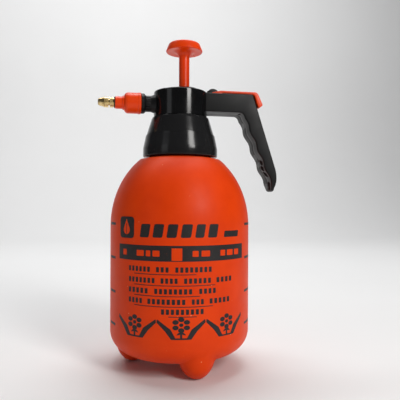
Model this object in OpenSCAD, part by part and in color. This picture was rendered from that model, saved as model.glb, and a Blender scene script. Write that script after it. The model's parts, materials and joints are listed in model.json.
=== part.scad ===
// Hand pump sprayer: a two litre bottle with a screw-on head that holds an air pump,
// a thumb valve in its handle and an adjustable brass nozzle.
// Origin: on the bottle's axis, at the plane the feet stand on.
// +Z is up, the handle points along +X and the nozzle along -X.

/* [Bottle] */
// Radius of the bottle
bottle_r = 64; // [60:0.5:68]
// Wall thickness of the bottle
bottle_wall = 1.6; // [1.2:0.1:2.2]
// Height of the bottle's underside between the feet
base_z = 13.7; // [12:0.1:16]
// Radius of the bottom corner
corner_r = 20; // [16:1:24]
// Height at which the shoulder starts
shoulder_z = 128; // [124:1:128]
// Height of the shoulder's curve
shoulder_h = 75; // [73:0.5:75]
// Outer radius of the neck
neck_r = 27; // [26.5:0.1:27.2]
// Inner radius of the neck
mouth_r = 24.6; // [24.2:0.1:24.8]
// Height of the bottle's mouth
mouth_z = 208; // [207.5:0.1:208]

/* [Feet] */
// Distance of each foot lobe from the bottle's axis
foot_ring_r = 45; // [42:0.5:45]
// Radius of a foot lobe
foot_r = 16; // [14:0.5:17]
// Turn of the first foot lobe, counted from -Y towards +X
foot_turn = 10.7; // [0:0.1:30]

/* [Head] */
// Radius of the head
head_r = 24.8; // [24.6:0.1:25]
// Height of the head's top face
head_top_z = 252; // [251.5:0.1:252.2]
// Radius of the collar's lower skirt
collar_r = 34.6; // [34:0.1:35]
// Thickness of the handle
handle_w = 25; // [24:0.5:27]

/* [Pump] */
// Distance from the bottle's axis to the pump's axis
pump_x = 3.5; // [3:0.1:3.5]
// Radius of the pump rod
rod_r = 4.9; // [4.8:0.05:4.9]
// Radius of the knob's rim
knob_r = 17.1; // [16:0.1:18]

/* [Trigger] */
// Width of the trigger
trigger_w = 18; // [16:0.5:18.4]
// Distance from the bottle's axis to the trigger's pivot
pivot_x = 30.5; // [30.3:0.1:30.6]

/* [Nozzle] */
// Height of the nozzle's axis
nozzle_z = 240.5; // [240.3:0.1:240.7]
// Radius of the knurled brass rings
knurl_r = 4.75; // [4.6:0.05:5]
// Number of knurls on a brass ring
knurl_count = 30; // [20:1:36]

/* [Hidden] */
$fn = 96;

orange = [0.84, 0.27, 0.06];
black = [0.09, 0.09, 0.1];
grey = [0.16, 0.16, 0.17];
rubber = [0.05, 0.05, 0.05];
natural = [0.85, 0.84, 0.8];
brass = [0.75, 0.6, 0.32];
steel = [0.7, 0.7, 0.72];

eps = 0.01;
over = 1;

// Bottle and feet
wall_low_z = 40;
wall_high_z = 124;
shoulder_end_r = 37.5;
neck_root_r = 29.5;
neck_root_z = 190.6;
neck_fillet = 2.4;
foot_h = 22;
foot_sink = 0.4;
foot_count = 3;
thread_r = 28.4;
thread_w = 1.3;
thread_pitch = 3.6;
thread_z = 197.5;
thread_turns = 3;

// Collar
collar_bottom_z = 191.2;
collar_skirt_z = 199;
collar_step_z = 211.5;
collar_top_z = 227.8;
collar_step_low_r = 32.1;
collar_step_high_r = 31.4;
collar_top_r = 26.4;
collar_lip = 1.2;
collar_bore_r = 28.9;
collar_ledge_z = 213;
collar_hole_r = 22.3;

// Head
flange_r = 26.6;
flange_z = 210;
flange_top_z = 212.5;
tube_boss_z = 202;
spigot_r = 21.9;
spigot_bore_r = 20;
head_bottom_z = 228.2;
head_cavity_r = 22.5;
head_cavity_z = 229.6;
head_roof_z = 249.5;
head_edge_r = 1.2;
window_w = 16;
window_z = 236.6;
window_top_z = 248;

// Pump
barrel_r = 13.5;
barrel_bore_r = 12;
barrel_bottom_z = 179;
barrel_top_z = 247;
cap_plug_z = 238;
cap_hole_r = 14.3;
cap_flange_r = 17;
rod_fit = 0.08;
piston_z = 220;
piston_h = 13;
piston_r = 11.4;
seal_r = 11.92;
seal_groove_r = 8.2;
rod_bottom_z = 223;
rod_top_z = 284;
rod_stub_r = 3.4;
rod_stub_top_z = 294;
rod_stop_r = 7.5;
knob_rim_z = 290.7;
knob_edge_z = 297.6;
knob_edge_r = 12.8;
knob_top_z = 299.6;

// Dip tube
tube_x = -15.5;
tube_r = 2;
tube_bore_r = 1.3;
tube_bottom_z = 26;
strainer_r = 3.4;
strainer_bottom_z = 18.5;

// Pipes inside the head
pipe_r = 2;
pipe_bore_r = 1.2;
pipe_ring_x = 2;
pipe_ring_r = 17.5;
feed_low_z = 232;
feed_high_z = 239;
delivery_z = 243.9;
riser_x = pipe_ring_x + pipe_ring_r;
elbow_r = 2.4;
elbow_bore_r = 1.5;

// Valve
valve_x = 44;
valve_r = 5.2;
valve_bottom_z = 236.7;
valve_top_z = 246;
seat_z = 241.2;
seat_top_z = 242.2;
stem_r = 1.25;
stem_fit = 0.08;
stem_button_z = 250.7;
stem_top_z = 251.65;
stem_dome = 0.55;
spring_r = 2.5;
spring_wire_r = 0.3;
spring_turns = 4;

// Handle, in side view
handle_top_z = 250.8;
handle_core_top_z = 248.4;
handle_bottom_z = 233.5;
handle_core_w = 19;
handle_wall = 2.3;
grip_tip_z = 161.6;
grip_tip_x = 88.1;
grip_tip_r = 1.6;
grip_back_slope = 0.322;
grip_back_x = 89.3;
grip_back_z = 182.4;
grip_back_r = 32;
grip_front_slope = 0.43;
grip_front_x = 69;
grip_front_z = 206.5;
finger_pitch = 16.8;
finger_depth = 0.85;
grip_corner_r = 5;
grip_cavity_z = 180;
back_recess = 4.2;
back_recess_z = 234.5;
screw_r = 1.4;
screw_head_r = 2.7;
screw_places = [[57.2, 241.5], [73.4, 212], [83.7, 184.5]];

// Trigger
pivot_z = 249.6;
pin_r = 1.5;
hinge_fit = 0.08;
boss_w = 8.8;
boss_dome_r = 6;
boss_dome_z = 250.5;
hub_r = 2.8;
trigger_top_z = 254.1;
trigger_under_z = 251.7;

// Nozzle line, as distances from the bottle's axis
outlet_in_d = 12.6;
outlet_flange_d = 33.5;
outlet_flange_end_d = 36.5;
outlet_end_d = 46.5;
outlet_bore_r = 3;
washer_end_d = 47.7;
union_start_d = 36.9;
union_wall_d = 50;
union_end_d = 52;
union_lip_d = 53.6;
tube_flange_end_d = 49.7;
nozzle_tube_end_d = 60.3;
nozzle_tube_r = 5.6;
body_ring_d = 62.1;
body_ring_end_d = 65;
cap_start_d = 66.2;
cap_knurl_end_d = 70;
cap_end_d = 75.7;
cap_tip_r = 2.6;
cap_shoulder_r = 4.4;
nozzle_stem_r = 2.9;

// Points on an arc of a circle
function arc(cx, cy, r, from, to, steps) =
    [for (i = [0:steps]) let (a = from + (to - from) * i / steps) [cx + r * cos(a), cy + r * sin(a)]];

// Points on an arc of an upright ellipse
function ellipse_arc(cx, cy, rx, ry, from, to, steps) =
    [for (i = [0:steps]) let (a = from + (to - from) * i / steps) [cx + rx * cos(a), cy + ry * sin(a)]];

// A ring of rectangular section about +Z
module ring(r_out, r_in, z_low, z_high) {
    translate([0, 0, z_low])
        difference() {
            cylinder(r = r_out, h = z_high - z_low);
            translate([0, 0, -over]) cylinder(r = r_in, h = z_high - z_low + 2 * over);
        }
}

// A round rod about +Z between two heights
module rod(r, z_low, z_high) {
    translate([0, 0, z_low]) cylinder(r = r, h = z_high - z_low);
}

// Turns a shape made along +Z so that it lies along the nozzle's axis, towards -X
module nozzle_axis() {
    translate([0, 0, nozzle_z]) rotate([0, -90, 0]) children();
}

// Moves a shape to the pump's axis
module pump_axis() {
    translate([pump_x, 0, 0]) children();
}

// Half outline of the bottle, moved inwards by t
function bottle_outline(t, neck, top) = concat(
    [[0, base_z + t]],
    arc(bottle_r - corner_r, base_z + corner_r, corner_r - t, -90, 0, 16),
    ellipse_arc(0, shoulder_z, bottle_r - t, shoulder_h - t, 0, acos(shoulder_end_r / bottle_r), 20),
    [[neck_root_r - t, neck_root_z - t]],
    arc(neck + neck_fillet + t, neck_root_z - t + neck_fillet, neck_fillet + t, -100, -180, 5),
    [[neck, top], [0, top]]);

// One foot lobe, moved inwards by t
module foot(t) {
    rise = foot_h - foot_sink;
    rotate_extrude()
        polygon(concat(
            [[0, t]],
            ellipse_arc(0, rise, foot_r - t, foot_h - t, -asin((rise - t) / (foot_h - t)), 0, 12),
            [[0, rise]]));
}

module feet(t) {
    for (i = [0:foot_count - 1])
        rotate([0, 0, foot_turn - 90 + i * 360 / foot_count]) translate([foot_ring_r, 0, 0]) foot(t);
}

// The bottle's shell. It is one moulding, cut into base, wall and shoulder so that each collides as it should
module bottle_shell() {
    difference() {
        union() {
            rotate_extrude() polygon(bottle_outline(0, neck_r, mouth_z));
            feet(0);
        }
        rotate_extrude() polygon(bottle_outline(bottle_wall, mouth_r, mouth_z + over));
        feet(bottle_wall);
    }
}

// The part of the bottle's shell between two heights
module bottle_slice(z_low, z_high) {
    intersection() {
        bottle_shell();
        rod(bottle_r + over, z_low, z_high);
    }
}

module bottle() {
    color(orange) ring(bottle_r, bottle_r - bottle_wall, wall_low_z, wall_high_z);
}

module bottle_base() {
    color(orange) bottle_slice(-over, wall_low_z);
}

module bottle_shoulder() {
    color(orange) {
        bottle_slice(wall_high_z, mouth_z + over);
        for (i = [0:thread_turns - 1])
            translate([0, 0, thread_z + i * thread_pitch])
                rotate_extrude()
                    polygon([[neck_r - eps, -thread_w], [thread_r, -thread_w / 2],
                             [thread_r, thread_w / 2], [neck_r - eps, thread_w]]);
    }
}

module neck_gasket() {
    color(rubber) ring(flange_r, mouth_r + 0.1, mouth_z, flange_z);
}

module screw_collar() {
    lip_z = collar_bottom_z + collar_lip;
    color(black)
        rotate_extrude()
            polygon(concat(
                [[collar_bore_r, collar_bottom_z]],
                arc(collar_r - collar_lip, lip_z, collar_lip, -90, 0, 6),
                [[collar_r, collar_skirt_z]],
                [for (u = [0.25:0.25:1])
                    [collar_r - (collar_r - collar_step_low_r) * pow(u, 1.4),
                     collar_skirt_z + (collar_step_z - 0.3 - collar_skirt_z) * u]],
                [[collar_step_high_r, collar_step_z]],
                [for (u = [0.2:0.2:1])
                    [collar_step_high_r - (collar_step_high_r - collar_top_r) * (u + 0.22 * u * (1 - u)),
                     collar_step_z + (collar_top_z - 0.6 - collar_step_z) * u]],
                [[collar_top_r - 0.6, collar_top_z], [collar_hole_r, collar_top_z],
                 [collar_hole_r, collar_ledge_z], [collar_bore_r, collar_ledge_z]]));
}

module head_housing() {
    color(black)
        difference() {
            rotate_extrude()
                polygon(concat(
                    [[spigot_bore_r, flange_top_z], [spigot_r, flange_top_z], [spigot_r, head_bottom_z]],
                    [[head_r - 0.4, head_bottom_z], [head_r, head_bottom_z + 0.4]],
                    arc(head_r - head_edge_r, head_top_z - head_edge_r, head_edge_r, 0, 90, 6),
                    [[0, head_top_z], [0, head_roof_z], [head_cavity_r, head_roof_z],
                     [head_cavity_r, head_cavity_z], [spigot_bore_r, head_cavity_z]]));
            pump_axis() rod(cap_hole_r, head_roof_z - over, head_top_z + over);
            translate([0, -window_w / 2, window_z])
                cube([head_r + over, window_w, window_top_z - window_z]);
            nozzle_axis() rod(6, head_cavity_r - 6, head_r + over);
        }
}

module pump_barrel() {
    color(natural)
        difference() {
            union() {
                pump_axis() rod(barrel_r, barrel_bottom_z, barrel_top_z);
                rod(flange_r, flange_z, flange_top_z);
                translate([tube_x, 0, 0]) rod(3.5, tube_boss_z, flange_z + eps);
            }
            pump_axis() rod(barrel_bore_r, barrel_bottom_z - over, barrel_top_z + over);
            translate([tube_x, 0, 0]) rod(tube_r, tube_boss_z - over, flange_top_z - over);
            translate([tube_x, 0, 0]) rod(pipe_bore_r, tube_boss_z - over, flange_top_z + over);
        }
}

module pump_cap() {
    color(black)
        pump_axis()
            rotate_extrude()
                polygon(concat(
                    [[rod_r + rod_fit, cap_plug_z], [barrel_bore_r - eps, cap_plug_z],
                     [barrel_bore_r - eps, barrel_top_z], [cap_hole_r - 0.2, barrel_top_z],
                     [cap_hole_r - 0.2, head_top_z + 0.8], [cap_flange_r, head_top_z + 0.8],
                     [cap_flange_r, head_top_z + 1.6]],
                    arc(cap_flange_r - 6, head_top_z - 2.6, 6.2, 42, 80, 5),
                    [[9.6, head_top_z + 3.4], [9.6, head_top_z - 2.5], [rod_r + rod_fit, head_top_z - 2.5]]));
}

module cap_gasket() {
    color(rubber) pump_axis() ring(cap_flange_r - 0.3, cap_hole_r + 0.1, head_top_z, head_top_z + 0.8);
}

module barrel_end_cap() {
    color(natural)
        pump_axis()
            difference() {
                union() {
                    rod(barrel_r, barrel_bottom_z - 4, barrel_bottom_z);
                    rod(barrel_bore_r, barrel_bottom_z - over, barrel_bottom_z + 4);
                }
                rod(barrel_bore_r - 1.5, barrel_bottom_z, barrel_bottom_z + 4 + over);
                rod(1.5, barrel_bottom_z - 4 - over, barrel_bottom_z + over);
                for (i = [0:3])
                    rotate([0, 0, 45 + 90 * i])
                        translate([5, 0, 0]) rod(1.4, barrel_bottom_z - 4 - over, barrel_bottom_z + over);
            }
}

module check_valve() {
    low = barrel_bottom_z - 4;
    color(rubber)
        pump_axis()
            rotate_extrude()
                polygon([[0, low - 1.9], [3, low - 1.9], [7.6, low - 0.7], [7.6, low], [1.5, low],
                         [1.5, barrel_bottom_z], [2.1, barrel_bottom_z], [1.2, barrel_bottom_z + 1.8],
                         [0, barrel_bottom_z + 1.8]]);
}

module piston() {
    top = piston_z + piston_h;
    color(natural)
        pump_axis()
            rotate_extrude()
                polygon([[0, piston_z], [piston_r - 2, piston_z], [piston_r - 2, piston_z + 1.5],
                         [seal_groove_r, piston_z + 1.5], [seal_groove_r, piston_z + 8],
                         [piston_r, piston_z + 8], [piston_r, top - 0.5], [piston_r - 0.5, top],
                         [rod_r + rod_fit, top], [rod_r + rod_fit, rod_bottom_z - 0.1],
                         [0, rod_bottom_z - 0.1]]);
}

module piston_seal() {
    color(rubber)
        pump_axis()
            rotate_extrude()
                polygon([[seal_groove_r, piston_z + 1.6], [piston_r - 2, piston_z + 1.6],
                         [piston_r - 1.8, piston_z + 4.5], [seal_r - 0.9, piston_z + 2],
                         [seal_r, piston_z + 2], [seal_r, piston_z + 3.5], [seal_r - 0.5, piston_z + 7.9],
                         [seal_groove_r, piston_z + 7.9]]);
}

module pump_rod() {
    stop_z = piston_z + piston_h + 0.5;
    color(orange)
        pump_axis()
            union() {
                rod(rod_r, rod_bottom_z, rod_top_z);
                rod(rod_stub_r, rod_top_z - over, rod_stub_top_z);
                rod(rod_stop_r, stop_z, cap_plug_z - 0.5);
            }
}

module plunger_knob() {
    color(orange)
        pump_axis()
            rotate_extrude()
                polygon(concat(
                    [[rod_stub_r, rod_top_z], [rod_r, rod_top_z]],
                    arc(rod_r + 6.2, rod_top_z + 0.4, 6.2, 178, 98, 8),
                    [[12.4, knob_rim_z - 0.1], [knob_r - 1.6, knob_rim_z - 0.7]],
                    arc(knob_r - 0.9, knob_rim_z, 0.9, -110, 15, 6),
                    arc(knob_edge_r - 0.3, knob_edge_z - 2.2, 2.6, 20, 68, 6),
                    ellipse_arc(0, knob_edge_z - 2, knob_edge_r + 4, knob_top_z - knob_edge_z + 2, 48, 90, 8),
                    [[0, rod_stub_top_z], [rod_stub_r, rod_stub_top_z]]));
}

module dip_tube() {
    color(natural)
        translate([tube_x, 0, 0]) ring(tube_r, tube_bore_r, tube_bottom_z, flange_top_z - over);
}

module strainer() {
    color(natural)
        translate([tube_x, 0, 0])
            difference() {
                rod(strainer_r, strainer_bottom_z, tube_bottom_z + 6);
                rod(tube_r, tube_bottom_z, tube_bottom_z + 6 + over);
                rod(tube_bore_r, strainer_bottom_z + 1, tube_bottom_z + over);
                for (i = [0:2])
                    rotate([0, 0, 60 * i])
                        translate([-strainer_r - over, -0.4, strainer_bottom_z + 1.5])
                            cube([2 * (strainer_r + over), 0.8, 5]);
            }
}

// Half ring of pipe about the barrel, on the side that side_angle starts from
module pipe_half_ring(r, z, side_angle) {
    translate([pipe_ring_x, 0, z])
        rotate([0, 0, side_angle])
            rotate_extrude(angle = 180) translate([pipe_ring_r, 0]) circle(r = r, $fn = 32);
}

// Straight pipe along +X
module pipe_run(r, x_low, x_high, z) {
    translate([x_low, 0, z]) rotate([0, 90, 0]) cylinder(r = r, h = x_high - x_low);
}

// Round elbow where two straight runs meet
module pipe_elbow(r, x, z) {
    translate([x, 0, z]) sphere(r = r);
}

// Route of the feed pipe, from the dip tube round the barrel and up to the valve
module feed_route(r, elbow, spare) {
    pipe_half_ring(r, feed_low_z, 180);
    translate([tube_x, 0, 0]) rod(r, flange_top_z - spare, feed_low_z);
    pipe_elbow(elbow, tube_x, feed_low_z);
    translate([riser_x, 0, 0]) rod(r, feed_low_z, feed_high_z);
    pipe_elbow(elbow, riser_x, feed_low_z);
    pipe_elbow(elbow, riser_x, feed_high_z);
    pipe_run(r, riser_x, valve_x - valve_r + spare, feed_high_z);
}

module feed_pipe() {
    color(natural)
        difference() {
            feed_route(pipe_r, elbow_r, 0.2);
            feed_route(pipe_bore_r, elbow_bore_r, over);
            translate([valve_x, 0, 0]) rod(valve_r, valve_bottom_z, valve_top_z);
            rod(flange_r, flange_z, flange_top_z);
        }
}

// Route of the delivery pipe, from the valve round the barrel to the outlet tube
module delivery_route(r, elbow, spare) {
    pipe_half_ring(r, delivery_z, 0);
    pipe_elbow(elbow, riser_x, delivery_z);
    pipe_run(r, riser_x, valve_x - valve_r + spare, delivery_z);
}

module delivery_pipe() {
    color(natural)
        difference() {
            delivery_route(pipe_r, elbow_r, 0.2);
            delivery_route(pipe_bore_r, elbow_bore_r, over);
            translate([valve_x, 0, 0]) rod(valve_r, valve_bottom_z, valve_top_z);
            nozzle_axis() rod(6, outlet_in_d, head_r);
        }
}

module valve_body() {
    color(natural)
        difference() {
            translate([valve_x, 0, 0]) rod(valve_r, valve_bottom_z, valve_top_z);
            translate([valve_x, 0, 0]) {
                rod(3.4, valve_bottom_z + 1.3, seat_z);
                rod(2, seat_z - over, seat_top_z + over);
                rod(3, seat_top_z, valve_top_z + over);
            }
            pipe_run(pipe_bore_r, valve_x - valve_r - over, valve_x, feed_high_z);
            pipe_run(pipe_bore_r, valve_x - valve_r - over, valve_x, delivery_z);
        }
}

module valve_gland() {
    color(black) translate([valve_x, 0, 0]) ring(3, stem_r + stem_fit, valve_top_z - 1, valve_top_z);
}

module stem_seal() {
    bead = 0.4;
    color(rubber)
        translate([valve_x, 0, valve_top_z - 1 - bead])
            rotate_extrude() translate([stem_r + stem_fit + bead, 0]) circle(r = bead, $fn = 24);
}

module valve_stem() {
    dome_r = (pow(3.2, 2) + pow(stem_dome, 2)) / (2 * stem_dome);
    color(natural)
        translate([valve_x, 0, 0]) {
            rod(stem_r, seat_z - 0.4, stem_button_z + 0.2);
            rod(2.7, seat_z - 1.4, seat_z - 0.4);
            rotate_extrude()
                polygon(concat([[0, stem_button_z], [3.2, stem_button_z]],
                               arc(0, stem_top_z - dome_r, dome_r, 90 - asin(3.2 / dome_r), 90, 8)));
        }
}

module valve_washer() {
    color(rubber) translate([valve_x, 0, 0]) ring(2.6, stem_r, seat_z - 0.4, seat_z);
}

// Coil of round wire, as one swept tube
module coil(r, wire, z_low, z_high, turns, sides, steps) {
    total = turns * steps;
    points = [for (i = [0:total], j = [0:sides - 1])
        let (a = 360 * i / steps, b = 360 * j / sides)
            [(r + wire * cos(b)) * cos(a), (r + wire * cos(b)) * sin(a),
             z_low + wire + (z_high - z_low - 2 * wire) * i / total + wire * sin(b)]];
    skin = [for (i = [0:total - 1], j = [0:sides - 1])
        let (k = (j + 1) % sides)
            [i * sides + j, (i + 1) * sides + j, (i + 1) * sides + k, i * sides + k]];
    first_end = [for (j = [0:sides - 1]) j];
    last_end = [for (j = [0:sides - 1]) total * sides + sides - 1 - j];
    polyhedron(points = points, faces = concat(skin, [first_end, last_end]));
}

module valve_spring() {
    color(steel)
        translate([valve_x, 0, 0])
            coil(spring_r, spring_wire_r, valve_top_z + 0.02, stem_button_z - 0.02, spring_turns, 6, 18);
}

// Back edge of the handle: a straight slope that turns into an arc near the tip
function grip_back(z) =
    let (a = atan(grip_back_slope),
         cx = grip_back_x - grip_back_r * cos(a),
         cz = grip_back_z - grip_back_r * sin(a))
    z > grip_back_z ? grip_back_x - grip_back_slope * (z - grip_back_z)
                    : cx + sqrt(pow(grip_back_r, 2) - pow(z - cz, 2));

// Front edge of the grip, with its finger grooves
function grip_front(z) =
    grip_front_x - grip_front_slope * (z - grip_front_z)
    + finger_depth * cos(360 * (z - grip_front_z) / finger_pitch);

// Side outline of the handle below its top, from the back edge round to the block's underside
function handle_lower(back_top_z, inset) =
    let (a = atan(grip_front_slope),
         cz = handle_bottom_z - grip_corner_r,
         cx = grip_front_x - grip_front_slope * (cz - grip_front_z) - grip_corner_r / cos(a))
    concat(
        [for (z = [back_top_z:-4:grip_cavity_z]) [grip_back(z) - inset, z]],
        [for (z = [grip_cavity_z - 3:-3:163]) [grip_back(z), z]],
        arc(grip_tip_x, grip_tip_z, grip_tip_r, -10, -180, 6),
        [for (z = [165:2.8:228]) [grip_front(z), z]],
        arc(cx, cz, grip_corner_r, a + 4, 90, 5),
        [[head_r - 3, handle_bottom_z]]);

// Outline of the outer cheeks
module handle_cheek_outline() {
    polygon(concat([[head_r - 3, handle_top_z], [grip_back(handle_top_z) - 1.5, handle_top_z],
                    [grip_back(handle_top_z - 1.5), handle_top_z - 1.5]],
                   handle_lower(handle_top_z - 6, 0)));
}

// Outline of the core between the cheeks, lowered where the trigger moves
module handle_core_outline() {
    polygon(concat([[head_r - 3, handle_core_top_z],
                    [grip_back(handle_core_top_z) - back_recess, handle_core_top_z],
                    [grip_back(back_recess_z) - back_recess, back_recess_z]],
                   handle_lower(back_recess_z - 2, 0)));
}

// Hollow of the core
module handle_hollow_outline() {
    w = handle_wall;
    polygon(concat([[head_r - 4, handle_core_top_z - w],
                    [grip_back(handle_core_top_z) - back_recess - w, handle_core_top_z - w],
                    [grip_back(back_recess_z) - back_recess - w, back_recess_z - w]],
                   [for (z = [back_recess_z - 6:-6:grip_cavity_z]) [grip_back(z) - w, z]],
                   [for (z = [grip_cavity_z:4:222]) [grip_front(z) + w + 0.2, z]],
                   [[grip_front(230) + w + 1.5, 230], [grip_front(236) + w, handle_bottom_z + w],
                    [head_r - 4, handle_bottom_z + w]]));
}

// Turns an outline in X and Z into a plate between two distances from the middle plane
module side_plate(from, to) {
    translate([0, to, 0]) rotate([90, 0, 0]) linear_extrude(height = to - from) children();
}

// Round bar along Y, at a place in side view, between two distances from the middle plane
module cross_bar(place, r, from, to) {
    translate([place[0], to, place[1]]) rotate([90, 0, 0]) cylinder(r = r, h = to - from);
}

// The half on the +Y side; head_side is true for the half that takes the screw heads
module handle_half(head_side) {
    core = handle_core_w / 2;
    side = handle_w / 2;
    difference() {
        union() {
            difference() {
                union() {
                    side_plate(core - eps, side) handle_cheek_outline();
                    // Pivot boss with its domed top
                    cross_bar([pivot_x, boss_dome_z], boss_dome_r, 0, boss_w / 2);
                    difference() {
                        side_plate(0, core) handle_core_outline();
                        side_plate(-over, core) handle_hollow_outline();
                    }
                }
                // Round seat against the head
                rod(head_r, handle_bottom_z - over, head_top_z + over);
                // Pocket for the trigger's hub
                translate([pivot_x - 5.5, boss_w / 2, pivot_z - 4])
                    cube([11, core - boss_w / 2, 10]);
            }
            // Tongue that locks into the head's window
            translate([head_r - 4, window_w / 2 - 2.1, window_z + 0.4])
                cube([6, 2, window_top_z - window_z - 0.8]);
            // Stop rib in front of the pivot boss
            translate([head_r + 0.3, 0, handle_core_top_z - over]) cube([1.8, boss_w / 2, 7]);
            translate([head_r + 0.3, 0, handle_core_top_z - over]) cube([4, boss_w / 2, 2.5]);
            for (place = screw_places)
                cross_bar(place, screw_head_r, 0, core);
        }
        cross_bar([pivot_x, pivot_z], pin_r, -over, side - 3);
        // Opening over the valve
        translate([valve_x, 0, 0]) rod(4.2, handle_core_top_z - handle_wall - over, handle_top_z + over);
        // Hollow of the boss, clear of the pipes
        translate([head_r + 0.1, -over, handle_bottom_z + handle_wall])
            cube([11, 4.8, handle_core_top_z - 2 * handle_wall - handle_bottom_z]);
        for (place = screw_places) {
            if (head_side) {
                cross_bar(place, screw_r + 0.3, -over, side + over);
                cross_bar(place, screw_head_r + 0.3, side - 2, side + over);
            } else {
                cross_bar(place, screw_r, -over, 7.5);
            }
        }
    }
}

module handle_right() {
    color(grey) handle_half(true);
}

module handle_left() {
    color(grey) mirror([0, 1, 0]) handle_half(false);
}

module handle_screws() {
    side = handle_w / 2;
    color(steel)
        for (place = screw_places)
            difference() {
                union() {
                    cross_bar(place, screw_r, -7, side - 1.5);
                    cross_bar(place, screw_head_r, side - 2, side - 0.4);
                }
                translate([place[0] - 0.4, side - 1.1, place[1] - 2]) cube([0.8, 2, 4]);
                translate([place[0] - 2, side - 1.1, place[1] - 0.4]) cube([4, 2, 0.8]);
            }
}

// Side outline of the trigger's plate and thumb tongue
module trigger_outline() {
    polygon(concat(
        [[pivot_x - 1.2, pivot_z + 1.2], [pivot_x - 0.8, 252.3], [37, trigger_top_z]],
        arc(69.9, trigger_top_z - 4, 4, 90, 26, 6),
        arc(75.9, 242.6, 1.8, 10, -60, 4),
        arc(74.6, 241.3, 1.8, -80, -170, 4),
        [[69.6, 250.2], [67.8, trigger_under_z], [38.6, trigger_under_z], [37.2, 250.6],
         [33, pivot_z - 1.2]]));
}

module trigger() {
    half = trigger_w / 2;
    slot = boss_w / 2 + 0.3;
    color(orange)
        difference() {
            union() {
                side_plate(-half, half) trigger_outline();
                cross_bar([pivot_x, pivot_z], hub_r, -half, half);
            }
            translate([pivot_x - 10, -slot, pivot_z - 6]) cube([17, 2 * slot, 14]);
            cross_bar([pivot_x, pivot_z], pin_r + hinge_fit, -half - over, half + over);
        }
}

module pivot_pin() {
    color(steel) cross_bar([pivot_x, pivot_z], pin_r, -trigger_w / 2, trigger_w / 2);
}

module outlet_tube() {
    flutes = 10;
    wall_r = 7.4;
    port_x = delivery_z - nozzle_z;
    color(grey)
        difference() {
            union() {
                difference() {
                    nozzle_axis() {
                        rod(wall_r, head_r - 4, outlet_flange_d + over);
                        translate([0, 0, head_r - 4]) cylinder(r1 = 9.6, r2 = wall_r, h = 7);
                        translate([0, 0, outlet_flange_d - 1.2]) cylinder(r1 = wall_r, r2 = 9.2, h = 1.8);
                        rod(9.2, outlet_flange_d + 0.6, outlet_flange_end_d);
                        rod(7, outlet_flange_end_d - over, outlet_end_d);
                    }
                    rod(head_r, nozzle_z - 12, nozzle_z + 12);
                }
                nozzle_axis() rod(6, outlet_in_d, head_r + over);
            }
            nozzle_axis() {
                for (i = [0:flutes - 1])
                    rotate([0, 0, 360 * (i + 0.5) / flutes])
                        translate([wall_r + 1.1, 0, head_r + 3.2]) cylinder(r = 1.6, h = 4.3);
                rod(outlet_bore_r, outlet_in_d + 1.5, outlet_end_d + over);
                translate([port_x, 0, -tube_x]) rotate([-90, 0, 0]) cylinder(r = pipe_bore_r, h = 7);
            }
        }
}

module union_washer() {
    color(rubber) nozzle_axis() ring(6.6, outlet_bore_r, outlet_end_d, washer_end_d);
}

module union_nut() {
    color(orange)
        nozzle_axis()
            rotate_extrude()
                polygon(concat(
                    [[7.35, union_start_d], [9.4, union_start_d], [9.8, union_start_d + 0.5],
                     [9.8, union_start_d + 2.4], [9.5, union_start_d + 2.8]],
                    arc(5.6, union_end_d - 3.6, 3.1, 12, 78, 6),
                    [[6.4, union_end_d + 0.2], [6.4, union_lip_d], [nozzle_tube_r + 0.3, union_lip_d],
                     [nozzle_tube_r + 0.3, union_wall_d], [7.35, union_wall_d]]));
}

module nozzle_tube() {
    color(orange)
        nozzle_axis()
            difference() {
                union() {
                    rod(6.8, washer_end_d, tube_flange_end_d);
                    rod(nozzle_tube_r, washer_end_d, nozzle_tube_end_d - 0.5);
                    translate([0, 0, nozzle_tube_end_d - 0.5])
                        cylinder(r1 = nozzle_tube_r, r2 = nozzle_tube_r - 0.5, h = 0.5);
                }
                rod(2.2, washer_end_d - over, nozzle_tube_end_d);
                rod(3.6, union_end_d, nozzle_tube_end_d + over);
            }
}

module nozzle_body() {
    color(brass)
        nozzle_axis()
            difference() {
                union() {
                    rod(3.6, union_end_d, nozzle_tube_end_d);
                    rod(4.2, nozzle_tube_end_d, body_ring_d + eps);
                    rod(knurl_r, body_ring_d, body_ring_end_d);
                    rod(nozzle_stem_r, body_ring_end_d - eps, 71);
                    translate([0, 0, 71 - eps]) cylinder(r1 = nozzle_stem_r, r2 = 0.8, h = 1);
                }
                rod(1, union_end_d - over, 69.8);
                translate([-3.5, 0, 69.3]) rotate([0, 90, 0]) cylinder(r = 0.5, h = 7);
                knurl_cuts(body_ring_d, body_ring_end_d);
            }
}

// Grooves that knurl a ring
module knurl_cuts(z_low, z_high) {
    for (i = [0:knurl_count - 1])
        rotate([0, 0, 360 * i / knurl_count])
            translate([knurl_r, 0, z_low - over])
                rotate([0, 0, 45])
                    translate([-0.15, -0.15, 0]) cube([0.3, 0.3, z_high - z_low + 2 * over]);
}

module nozzle_seal() {
    bead = 0.45;
    color(rubber)
        nozzle_axis()
            translate([0, 0, nozzle_tube_end_d + bead + 0.05])
                rotate_extrude() translate([4.2 + bead, 0]) circle(r = bead, $fn = 24);
}

module cap_oring() {
    bead = 0.5;
    color(rubber)
        nozzle_axis()
            translate([0, 0, cap_start_d + 1.7])
                rotate_extrude() translate([nozzle_stem_r + 0.08 + bead, 0]) circle(r = bead, $fn = 24);
}

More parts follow.
